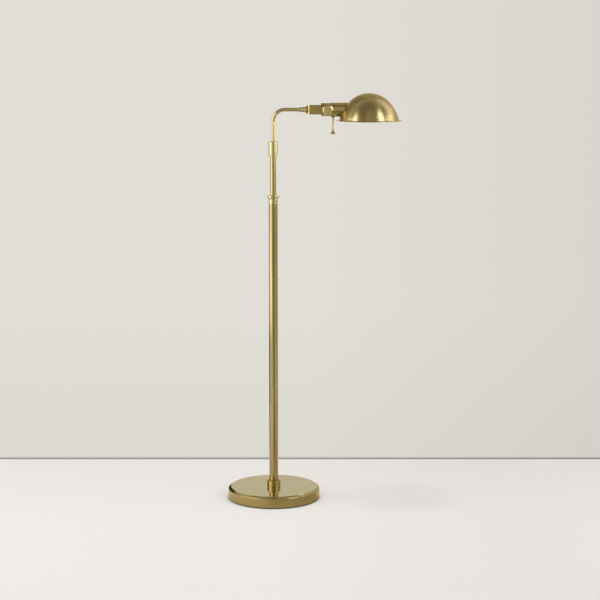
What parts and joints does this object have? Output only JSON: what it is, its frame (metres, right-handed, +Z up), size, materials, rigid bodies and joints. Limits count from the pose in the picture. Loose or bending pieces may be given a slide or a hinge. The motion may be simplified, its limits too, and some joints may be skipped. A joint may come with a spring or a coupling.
{
  "type": "floor lamp",
  "caption": "Floor lamp with a weighted round base, a telescoping column, a swivelling bent arm and a tilting dome shade with a turn switch.",
  "frame": {"origin": "on the floor at the column's axis, at the centre of the base's underside", "axes": "+Z up along the column, +X along the arm towards the shade"},
  "size_m": [0.4522, 0.2437, 1.0683],
  "materials": {
    "base_brass": "polished, lightly aged",
    "turned_brass": "satin, aged",
    "tube_brass": "brushed along its length, aged",
    "shade_brass": "spun and brushed in rings, aged",
    "shell_brass": "bright pressed",
    "cast_iron": "rough cast",
    "black_felt": "felt",
    "black_bakelite": "moulded",
    "zinc_steel": "zinc plated",
    "dark_steel": "black oxide",
    "white_nylon": "moulded",
    "red_fibre": "pressed fibre",
    "glazed_porcelain": "glazed",
    "cap_aluminium": "rolled thread",
    "frosted_glass": "frosted inside"
  },
  "bodies": {
    "column": {"base_cover": "base_brass", "base_weight": "cast_iron", "base_felt": "black_felt", "cord_bushing": "black_bakelite", "tie_nipple": "zinc_steel", "base_washer": "zinc_steel", "base_nut": "zinc_steel", "foot_collar": "turned_brass", "foot_plug": "turned_brass", "outer_tube": "tube_brass", "top_ring": "turned_brass", "friction_bush": "white_nylon"},
    "riser": {"inner_tube": "tube_brass", "guide_bush": "white_nylon", "arm_collar": "turned_brass", "thrust_washer": "white_nylon", "swivel_screw": "dark_steel"},
    "arm": {"swivel_spindle": "turned_brass", "arm_tube": "tube_brass", "arm_ferrule": "turned_brass", "knuckle_bar": "turned_brass", "pivot_screw_front": "turned_brass", "pivot_screw_back": "turned_brass", "friction_washers": "red_fibre"},
    "head": {"socket_housing": "turned_brass", "switch_block": "black_bakelite", "switch_bush": "turned_brass", "lampholder": "glazed_porcelain", "screw_shell": "shell_brass", "centre_contact": "shell_brass", "holder_ring": "turned_brass", "shade": "shade_brass", "bulb_cap": "cap_aluminium", "bulb_glass": "frosted_glass"},
    "switch": {"switch_stem": "turned_brass", "switch_knob": "turned_brass"}
  },
  "joints": [
    {"name": "height_slide", "type": "slide", "parent": "column", "child": "riser", "axis": [0, 0, 1], "range_m": [-0.1, 0.2]},
    {"name": "arm_swivel", "type": "hinge", "parent": "riser", "child": "arm", "pos_m": [0, 0, 0.93], "axis": [0, 0, 1], "range_deg": [-160, 160]},
    {"name": "head_tilt", "type": "hinge", "parent": "arm", "child": "head", "pos_m": [0.141, 0, 1.0258], "axis": [0, 1, 0], "range_deg": [-60, 60]},
    {"name": "switch_turn", "type": "hinge", "parent": "head", "child": "switch", "pos_m": [0.1543, 0, 0.98], "axis": [0, 0, 1], "continuous": true}
  ]
}
